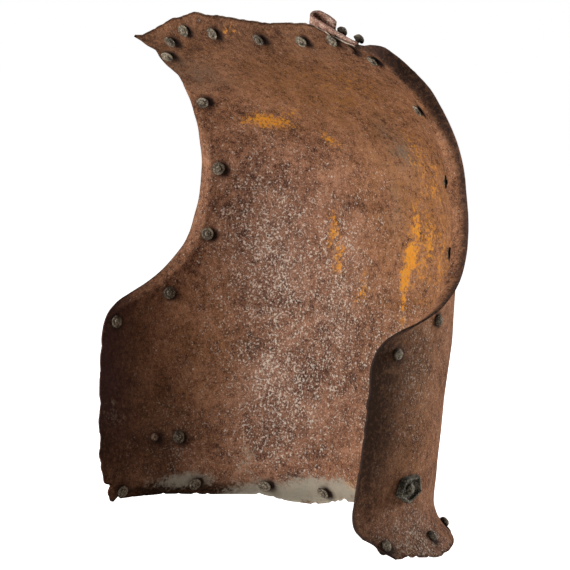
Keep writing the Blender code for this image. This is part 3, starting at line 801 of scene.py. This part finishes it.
def rivets_tree():
    """Sets a rivet on every point, its Z along the inward attribute, each tipped and battered a little."""
    tree, given, out = new_tree("rivets_on_places", "GeometryNodeTree", {
        "Geometry": "Geometry", "Rivet": "Object", "Tip": "Float", "Batter": "Float", "Seed": "Int",
        "Finish": "Material",
    }, {"Geometry": "Geometry"})
    rivet = add(tree, "GeometryNodeObjectInfo", Object=given["Rivet"])["Geometry"]
    chance = new_node(tree, "FunctionNodeRandomValue", data_type="FLOAT_VECTOR")
    tip = feed_all(tree, chance, Min=(-1, -1, -1), Max=(1, 1, 1), Seed=given["Seed"])[0]
    tip = add_vectors(tree, "SCALE", tip, given["Tip"])
    aim = add_vectors(tree, "ADD", attribute_vector(tree, "inward"), tip)
    turn = feed_all(tree, new_node(tree, "FunctionNodeAlignRotationToVector", axis="Z"), Vector=aim)[0]
    rivets = add(tree, "GeometryNodeInstanceOnPoints", Points=given["Geometry"], Instance=rivet,
                 Rotation=turn)[0]
    real = add(tree, "GeometryNodeRealizeInstances", Geometry=rivets)[0]
    place = add(tree, "GeometryNodeInputPosition")[0]
    push = add_vectors(tree, "SUBTRACT", add_noise(tree, place, BATTER_SCALE, 3.0, 0.5)[1], (0.5, 0.5, 0.5))
    push = add_vectors(tree, "SCALE", push, given["Batter"])
    finish_geometry(tree, real, push, given["Finish"], out)
    return tree


def apply_tree(piece, tree, **values):
    """Makes what a geometry tree with these inputs gives the piece's plain mesh."""
    modifier = piece.modifiers.new(tree.name, "NODES")
    modifier.node_group = tree
    sockets = tree.interface.items_tree
    identifiers = {item.name: item.identifier for item in sockets if item.in_out == "INPUT"}
    for name, value in values.items():
        modifier[identifiers[name.replace("_", " ")]] = value
    bpy.context.view_layer.update()
    graph = bpy.context.evaluated_depsgraph_get()
    mesh = bpy.data.meshes.new_from_object(piece.evaluated_get(graph), preserve_all_data_layers=True,
                                           depsgraph=graph)
    piece.modifiers.clear()
    piece.data = mesh


def rust_group():
    """Rusted iron's mottled colour, its pale crust of specks, its roughness and its relief."""
    tree, given, out = new_tree("rusted_skin", "ShaderNodeTree", {
        "Place": "Vector", "Dark": "Color", "Body": "Color", "Light": "Color", "Crust": "Color",
        "Specks": "Float",
    }, {"Color": "Color", "Roughness": "Float", "Height": "Float"})
    values = add_noises(tree, given["Place"], "broad", "mottle", "grain", "flecks", "clouds")
    tone = add_blend(tree, values, TONE_SHARES)
    colour = add_mix(tree, add_range(tree, tone, *DARK_TO_BODY), given["Dark"], given["Body"])
    colour = add_mix(tree, add_range(tree, tone, *BODY_TO_LIGHT), colour, given["Light"])
    clouded = times(tree, add_math(tree, "SUBTRACT", values["clouds"], 0.5), CLOUD_SHARE)
    start = add_math(tree, "SUBTRACT", CRUST_START, times(tree, given["Specks"], CRUST_PULL))
    flecks = plus(tree, values["flecks"], clouded)
    values["crust"] = add_range(tree, flecks, start, plus(tree, start, CRUST_WIDTH))
    colour = add_mix(tree, times(tree, values["crust"], CRUST_SHARE), colour, given["Crust"])
    feed_all(tree, out, Color=colour, Roughness=add_range(tree, values["mottle"], *ROUGHNESS_RANGE),
             Height=add_blend(tree, values, RELIEF_SHARES))
    return tree


def rusted_material(name, skin, metallic, relief_height):
    """A material of rust: it, its tree, its rust node, its coordinates, and the socket for its colour."""
    made = bpy.data.materials.new(name)
    made.use_nodes = True
    tree = made.node_tree
    place = add(tree, "ShaderNodeTexCoord")["Object"]
    rust = new_node(tree, "ShaderNodeGroup", node_tree=skin)
    feed_all(tree, rust, Place=place, Dark=DARK_RUST, Crust=CRUST_COLOUR)
    relief = add(tree, "ShaderNodeBump", Distance=relief_height, Height=rust.outputs["Height"])[0]
    shader = tree.nodes["Principled BSDF"]
    feed_all(tree, shader, Metallic=metallic, Specular_IOR_Level=METAL_SHINE * metallic + RUST_SHINE,
             Normal=relief, Roughness=rust.outputs["Roughness"])
    return made, tree, rust, place, shader.inputs["Base Color"]


def mask_of(tree, name):
    return new_node(tree, "ShaderNodeAttribute", attribute_name=name).outputs["Fac"]


def add_layers(tree, colour, values, layers):
    for mask, paint, broken_by, limits in layers:
        share = times(tree, mask_of(tree, mask), add_range(tree, values[broken_by], *limits))
        colour = add_mix(tree, share, colour, paint)
    return colour


def plate_finish(skin):
    """Brown rust with pale specks, orange blooms and lime along the waist; painted shade, purple-dark on the
    right wing, on the wings, the lips and the waist's lower edge; painted shadows by the rivets; wear and
    painted highlight on the rim.
    """
    made, tree, rust, place, base = rusted_material("rusted_plate_iron", skin, 0.0, PLATE_RELIEF)
    speckled = mask_of(tree, "speckle")
    greyed = times(tree, speckled, GREYED_SHARE)
    feed_all(tree, rust, Specks=plus(tree, times(tree, speckled, SPECKLED_SPECKS), PLATE_SPECKS),
             Body=add_mix(tree, greyed, PLATE_BODY, GREYED_BODY),
             Light=add_mix(tree, greyed, PLATE_LIGHT, GREYED_LIGHT))
    values = add_noises(tree, place, "bloom", "fine", "grit")
    values["ragged"] = add_blend(tree, values, RAGGED_SHARES)
    colour = add_layers(tree, rust.outputs["Color"], values, LOWER_LAYERS)
    orange = plus(tree, times(tree, mask_of(tree, "orange"), ORANGE_PULL), values["ragged"])
    grain = add_range(tree, values["fine"], *ORANGE_GRAIN)
    share = times(tree, add_range(tree, orange, *ORANGE_START), grain)
    bloom = add_mix(tree, add_range(tree, values["grit"], *ORANGE_TO_YELLOW), ORANGE_RUST, YELLOW_RUST)
    colour = add_mix(tree, share, colour, bloom)
    lime = plus(tree, times(tree, mask_of(tree, "mineral"), LIME_PULL), values["ragged"])
    colour = add_mix(tree, add_range(tree, lime, *LIME_START), colour, LIME_GREY)
    feed(tree, base, add_layers(tree, colour, values, UPPER_LAYERS))
    return made


def fitting_finish(skin, name, dark, body, light, specks, metallic, relief_height):
    """A small part's iron, with painted shade in its rivets' grooves and recesses, and its rusted ends."""
    made, tree, rust, _, base = rusted_material(name, skin, metallic, relief_height)
    colour = feed_all(tree, rust, Dark=dark, Body=body, Light=light, Specks=specks)["Color"]
    colour = add_mix(tree, mask_of(tree, "rusty"), colour, RUSTED_END)
    feed(tree, base, add_mix(tree, times(tree, mask_of(tree, "grime"), SHADE_SHARE), colour, SHADE_BLACK))
    return made


def places_on(rows, side=None):
    """For each row of a table, a point of the inner face and the way out there."""
    places = []
    for along, height in zip(*rows.values()):
        angle = angle_at_back(side, along, height) if "back" in rows else angle_at_across(along, height)
        places.append((plate_point(angle, height), outward_normal(angle, height)))
    return places


def rivet_profile(packing=0.0, lining_gap=LINING_GAP, washer_radius=WASHER_RADIUS):
    """Half a rivet's outline, (radius, height, painted shade), from its peened end to its dome over its
    packing.
    """
    washer_end = lining_gap + WASHER_THICKNESS
    seat = -(PLATE_THICKNESS + SEAT_GAP + packing)
    peened = [(PEENED_RADIUS * radius, washer_end + PEENED_HEIGHT * height, grime)
              for radius, height, grime in zip(*PEENED_END.values())]
    dome = [(DOME_RADIUS * radius, seat - DOME_HEIGHT * height, grime)
            for radius, height, grime in zip(*DOME.values())]
    # The third number of each ring is painted shade: darkest on the washer's side and underside, the shank
    # and the dome's seat.
    return [
        *peened,
        (PEENED_RADIUS * 1.02, washer_end + 0.15, 0.4),
        (PEENED_RADIUS * 1.15, washer_end - 0.1, 0.5),
        (PEENED_RADIUS * 1.4, washer_end - 0.05, 0.1),
        (washer_radius - 1.1, washer_end, 0),
        (washer_radius - RIVET_EDGE, washer_end - 0.05, 0.15),
        (washer_radius, washer_end - RIVET_EDGE - 0.05, 0.8),
        (washer_radius, lining_gap + RIVET_EDGE, 1),
        (washer_radius - RIVET_EDGE, lining_gap, 1),
        (SHANK_RADIUS, lining_gap + 0.1, 1),
        (SHANK_RADIUS, seat, 1),
        (DOME_RADIUS - RIVET_EDGE, seat, 1),
        (DOME_RADIUS, seat - RIVET_EDGE, 0.8),
        *dome,
    ]


def rivet_pieces():
    """Every piece of rivets: name, places, outline, CAD nodes, seed, and how rusted its inner ends are."""
    pieces = []
    for name, (side, packing, seed, columns, *rows) in RIVET_ROWS.items():
        nodes = [name.replace("rivets", "rivet") + f"_{number + 1}" for number in range(len(rows))]
        pieces.append((name, places_on(table(columns, *rows), side), rivet_profile(packing), nodes, seed, 0))
    belt, stud = BELT_PLATE_THICKNESS + WALL_GAP, STRAP_PACKING + STRAP_LEATHER_GAP
    lug, flush = WALL_GAP + LUG_FLOOR + WALL_GAP, (FLUSH_GAP, FLUSH_RADIUS)
    studs, belt_rivets = places_on(STRAP_RIVETS_LEFT), places_on(BELT_PLATE_RIVETS, RIGHT)
    return pieces + [
        ("strap_stud_left_front", studs[:1], rivet_profile(stud), ["strap_rivet_left_1"], 23, 0),
        ("strap_stud_left_back", studs[1:], rivet_profile(stud, *flush), ["strap_rivet_left_2"], 29, 0.9),
        ("belt_rivet_right_front", belt_rivets[:1], rivet_profile(belt, *flush), ["belt_rivet_right_1"], 31,
         0.45),
        ("belt_rivet_right_back", belt_rivets[1:], rivet_profile(belt), ["belt_rivet_right_2"], 37, 0),
        (LUG_RIVET, places_on(LUG_PLACE, LEFT), rivet_profile(lug), ["belt_rivet_left"], 41, 0),
    ]


def tube_faces(rings, sides):
    """The faces between closed rings of points."""
    index = np.arange(rings * sides).reshape(rings, sides)
    after = np.roll(index, -1, 1)
    return np.stack([index[:-1], after[:-1], after[1:], index[1:]], -1).reshape(-1, 4)


def lathe(name, profile, rusty_end):
    """A closed turned mesh from half an outline that starts and ends on the axis."""
    radius, height, grime = (np.repeat(values, RIVET_SIDES) for values in np.array(profile, float).T)
    turn = np.tile(np.linspace(0, 2 * math.pi, RIVET_SIDES, endpoint=False), len(profile))
    points = np.stack([radius * np.cos(turn), radius * np.sin(turn), height], -1) * MM
    mesh = make_mesh(name, points, tube_faces(len(profile), RIVET_SIDES))
    # painted shade in the rivet's grooves, under its washer and round its shank and seat
    add_attribute(mesh, "grime", grime)
    add_attribute(mesh, "rusty", rusty_end * (height > 0))
    return right_way_out(mesh)


def settle(piece, slot, *nodes):
    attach(piece, BODY)
    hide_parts(*nodes)


def add_rivets(tree, finish, name, places, profile, nodes, seed, rusty_end):
    """One piece with a rivet at every place."""
    pattern = add_piece(name + "_pattern", lathe(name + "_pattern", profile, rusty_end))
    points = bpy.data.meshes.new(name)
    points.from_pydata([tuple(to_world(point)) for point, _ in places], [], [])
    add_attribute(points, "inward", np.array([-to_world_direction(outward) for _, outward in places]))
    piece = add_piece(name, points)
    apply_tree(piece, tree, Rivet=pattern, Tip=RIVET_TIP, Batter=RIVET_BATTER, Seed=seed, Finish=finish)
    bpy.data.objects.remove(pattern)
    smooth_shade(piece.data)
    settle(piece, "grey_rivet_iron", *nodes)


def add_worn(mesh, tree, finish, slot, node, dent_depth, dent_scale, pit_depth, pit_scale):
    """One worn piece from a closed mesh with an outward attribute."""
    piece = add_piece(mesh.name, mesh)
    apply_tree(piece, tree, Dent_Depth=dent_depth * MM, Dent_Scale=dent_scale, Pit_Depth=pit_depth * MM,
               Pit_Scale=pit_scale, Finish=finish)
    settle(piece, slot, node)


def smooth_path(path, steps):
    """A finer line through (point, outward direction) pairs."""
    points, outwards = (np.array(values) for values in zip(*path))
    far = travelled(points)
    even = np.linspace(0, far[-1], steps)
    points, outwards = (np.stack([smooth(values[:, axis], far, even) for axis in range(3)], -1)
                        for values in (points, outwards))
    return points, unit(outwards)


def bar_outline(width, thickness, corner):
    """A rounded bar's section, as (sideways, outward) pairs."""
    half, deep = width / 2 - corner, thickness / 2 - corner
    outline = []
    corners = (half, deep, 0), (-half, deep, 90), (-half, -deep, 180), (half, -deep, 270)
    for middle_x, middle_y, start in corners:
        for turn in (0, 30, 60, 90):
            angle = math.radians(start + turn)
            outline.append((middle_x + corner * math.cos(angle), middle_y + corner * math.sin(angle)))
        if start in (0, 180):
            side = 1 - start / 90
            outline += [(half * side * share, side * (deep + corner)) for share in (0.6, 0.2, -0.2, -0.6)]
    return np.array(outline)


def bar_mesh(name, path, steps, width=STRAP_WIDTH, thickness=STRAP_THICKNESS, corner=BAR_CORNER):
    """A closed bar of rounded section along a path, its ends rounded off."""
    points, outwards = smooth_path(path, steps)
    outline = bar_outline(width, thickness, corner)
    tangent = unit(np.gradient(points, axis=0))
    sideways = unit(np.cross(tangent, outwards))
    outwards = unit(np.cross(sideways, tangent))
    far = np.linspace(0, 1, steps) * travelled(points)[-1]
    end = (1 - ramp(np.minimum(far, far[-1] - far), 0, BAR_END_LENGTH)) ** 2
    rings = (
        points[:, None]
        + sideways[:, None] * outline[None, :, :1] * (1 - BAR_END_NARROWING * end)[:, None, None]
        + outwards[:, None] * outline[None, :, 1:] * (1 - BAR_END_THINNING * end)[:, None, None]
    )
    tip = np.ones((1, len(outline), 1))
    rings = np.concatenate([points[0] * tip, rings, points[-1] * tip])
    faces = tube_faces(len(rings), len(outline))
    mesh = right_way_out(make_mesh(name, to_world(rings.reshape(-1, 3)), faces))
    add_attribute(mesh, "outward", vertex_vectors(mesh, "normal"))
    return mesh


def raised(places, height):
    """The same (point, outward direction) pairs, this far out of the plate."""
    return [(point + outward * height, outward) for point, outward in places]


def right_strap():
    path = raised(places_on(STRAP_LINE_RIGHT), STRAP_LIFT)
    return bar_mesh("shoulder_strap_plate_right", path, RIGHT_STRAP_STEPS)


def left_strap():
    """The left strap runs along the shoulder's end, past the neck's corner, and folds back over itself."""
    path = raised(places_on(STRAP_LINE_LEFT), STRAP_LIFT)
    corner, outward = path[-1]
    along = unit(corner - path[-2][0])
    radius = (STRAP_FOLD_GAP + STRAP_THICKNESS) / 2
    centre = corner + along * STRAP_NOSE + outward * radius
    for turn in np.linspace(0, math.pi, STRAP_TURN_STEPS + 1):
        direction = along * math.sin(turn) - outward * math.cos(turn)
        path.append((centre + direction * radius, -direction))
    back = path[-1][0]
    for share, drop in zip(*STRAP_RETURN_LINE.values()):
        path.append((back - along * STRAP_RETURN * share - outward * drop, -outward))
    return bar_mesh("shoulder_strap_loop_left", path, LEFT_STRAP_STEPS)


def belt_plate():
    path = raised(places_on(BELT_PLATE_LINE, RIGHT), PLATE_THICKNESS + WALL_GAP + BELT_PLATE_THICKNESS / 2)
    size = BELT_PLATE_WIDTH, BELT_PLATE_THICKNESS, BELT_PLATE_CORNER
    return bar_mesh("waist_belt_plate_right", path, BELT_PLATE_STEPS, *size)


def belt_lug():
    """The five-sided lug: a dished block with rounded edges round its own rivet, its point down."""
    point, outward = places_on(LUG_PLACE, LEFT)[0]
    middle = PLATE_THICKNESS + WALL_GAP * 2 + LUG_HEIGHT / 2
    bm = bmesh.new()
    bmesh.ops.create_cone(bm, cap_ends=True, segments=5, radius1=LUG_RADIUS,
                          radius2=LUG_RADIUS * LUG_TAPER, depth=LUG_HEIGHT,
                          matrix=Matrix.Translation((0, 0, middle)) @ Matrix.Rotation(math.pi, 4, "Z"))
    bmesh.ops.scale(bm, verts=bm.verts, vec=(LUG_STRETCH, 1, 1))
    top = max(bm.faces, key=lambda face: face.calc_center_median().z)
    bmesh.ops.inset_region(bm, faces=[top], thickness=LUG_RIM)
    pit = bmesh.ops.extrude_face_region(bm, geom=[top])
    walls = [item for item in pit["geom"] if isinstance(item, bmesh.types.BMVert)]
    bmesh.ops.translate(bm, verts=walls, vec=(0, 0, LUG_FLOOR - LUG_HEIGHT))
    if top.is_valid:
        bmesh.ops.delete(bm, geom=[top], context="FACES_ONLY")
    sharp = [edge for edge in bm.edges if edge.is_manifold and edge.calc_face_angle() > LUG_SHARP_TURN]
    bmesh.ops.bevel(bm, geom=sharp, offset=LUG_BEVEL, segments=3, affect="EDGES", profile=0.6)
    bmesh.ops.triangulate(bm, faces=bm.faces)
    for _ in range(3):
        long_edges = [edge for edge in bm.edges if edge.calc_length() > LUG_LONGEST_EDGE]
        bmesh.ops.subdivide_edges(bm, edges=long_edges, cuts=1)
        bmesh.ops.triangulate(bm, faces=bm.faces)
    turn = Vector(outward).to_track_quat("Z", "Y").to_matrix()
    for vertex in bm.verts:
        vertex.co = turn @ vertex.co + Vector(point)
    mesh = bpy.data.meshes.new("waist_belt_lug_left")
    bm.to_mesh(mesh)
    bm.free()
    mesh.vertices.foreach_set("co", to_world(vertex_vectors(mesh, "co").astype(float)).ravel())
    smooth_shade(mesh)
    right_way_out(mesh)
    add_attribute(mesh, "outward", vertex_vectors(mesh, "normal"))
    return mesh


def seen_by_camera(tree):
    return add(tree, "ShaderNodeLightPath")["Is Camera Ray"]


def add_floor():
    """A pale floor that glows a little where the camera sees it."""
    half = FLOOR_HALF
    mesh = bpy.data.meshes.new("studio_floor")
    corners = [(-half, -half, 0), (half, -half, 0), (half, half, 0), (-half, half, 0)]
    mesh.from_pydata(corners, [], [(0, 1, 2, 3)])
    floor = bpy.data.materials.new("pale_floor")
    floor.use_nodes = True
    tree = floor.node_tree
    feed_all(tree, tree.nodes["Principled BSDF"], Base_Color=FLOOR_GREY, Roughness=FLOOR_ROUGHNESS,
             Emission_Color=WHITE, Emission_Strength=times(tree, seen_by_camera(tree), FLOOR_GLOW))
    mesh.materials.append(floor)
    add_piece("studio_floor", mesh)


def add_lamps():
    """Square lamps, each at its direction from the middle of the object, aimed at it."""
    for name, (direction, distance, power, size) in LAMPS.items():
        away = Vector(direction).normalized()
        light = bpy.data.lights.new(name, "AREA")
        light.energy = power
        light.size = size
        lamp = add_piece(name, light)
        lamp.location = Vector(LAMP_AIM) + away * distance
        lamp.rotation_euler = (-away).to_track_quat("-Z", "Y").to_euler()


def add_world():
    """White air: bright to the camera, faint as a light."""
    bpy.context.scene.world = world = bpy.data.worlds.new("studio_air")
    world.use_nodes = True
    tree = world.node_tree
    seen = times(tree, seen_by_camera(tree), 1 - AIR_STRENGTH)
    feed_all(tree, tree.nodes["Background"], Color=WHITE, Strength=plus(tree, seen, AIR_STRENGTH))
    bpy.context.scene.view_settings.view_transform = "Standard"


def add_camera():
    """A long lens at the wearer's front left, just above the plate's middle."""
    data = bpy.data.cameras.new("camera")
    data.lens = CAMERA_LENS
    data.clip_end = CAMERA_REACH
    bpy.context.scene.camera = camera = add_piece("camera", data)
    camera.location = CAMERA_PLACE
    camera.rotation_euler = CAMERA_TURN


def main():
    skin = rust_group()
    plate_iron = plate_finish(skin)
    rivet_iron, strap_iron, lug_iron, belt_iron = (
        fitting_finish(skin, name, *look) for name, look in FITTING_IRONS.items())
    worn = worn_iron_tree()
    add_worn(back_plate_sheet(), worn, plate_iron, "rusted_iron", "back_plate", *PLATE_WEAR)
    add_worn(right_strap(), worn, strap_iron, "dark_fitting_iron", "strap_plate_right", *STRAP_WEAR)
    add_worn(left_strap(), worn, strap_iron, "dark_fitting_iron", "strap_loop_left", *STRAP_WEAR)
    add_worn(belt_plate(), worn, belt_iron, "dark_fitting_iron", "belt_plate_right", *BELT_PLATE_WEAR)
    add_worn(belt_lug(), worn, lug_iron, "dark_fitting_iron", "belt_lug_left", *LUG_WEAR)
    rivets = rivets_tree()
    for piece in rivet_pieces():
        add_rivets(rivets, lug_iron if piece[0] == LUG_RIVET else rivet_iron, *piece)
    add_floor()
    add_lamps()
    add_world()
    add_camera()


main()
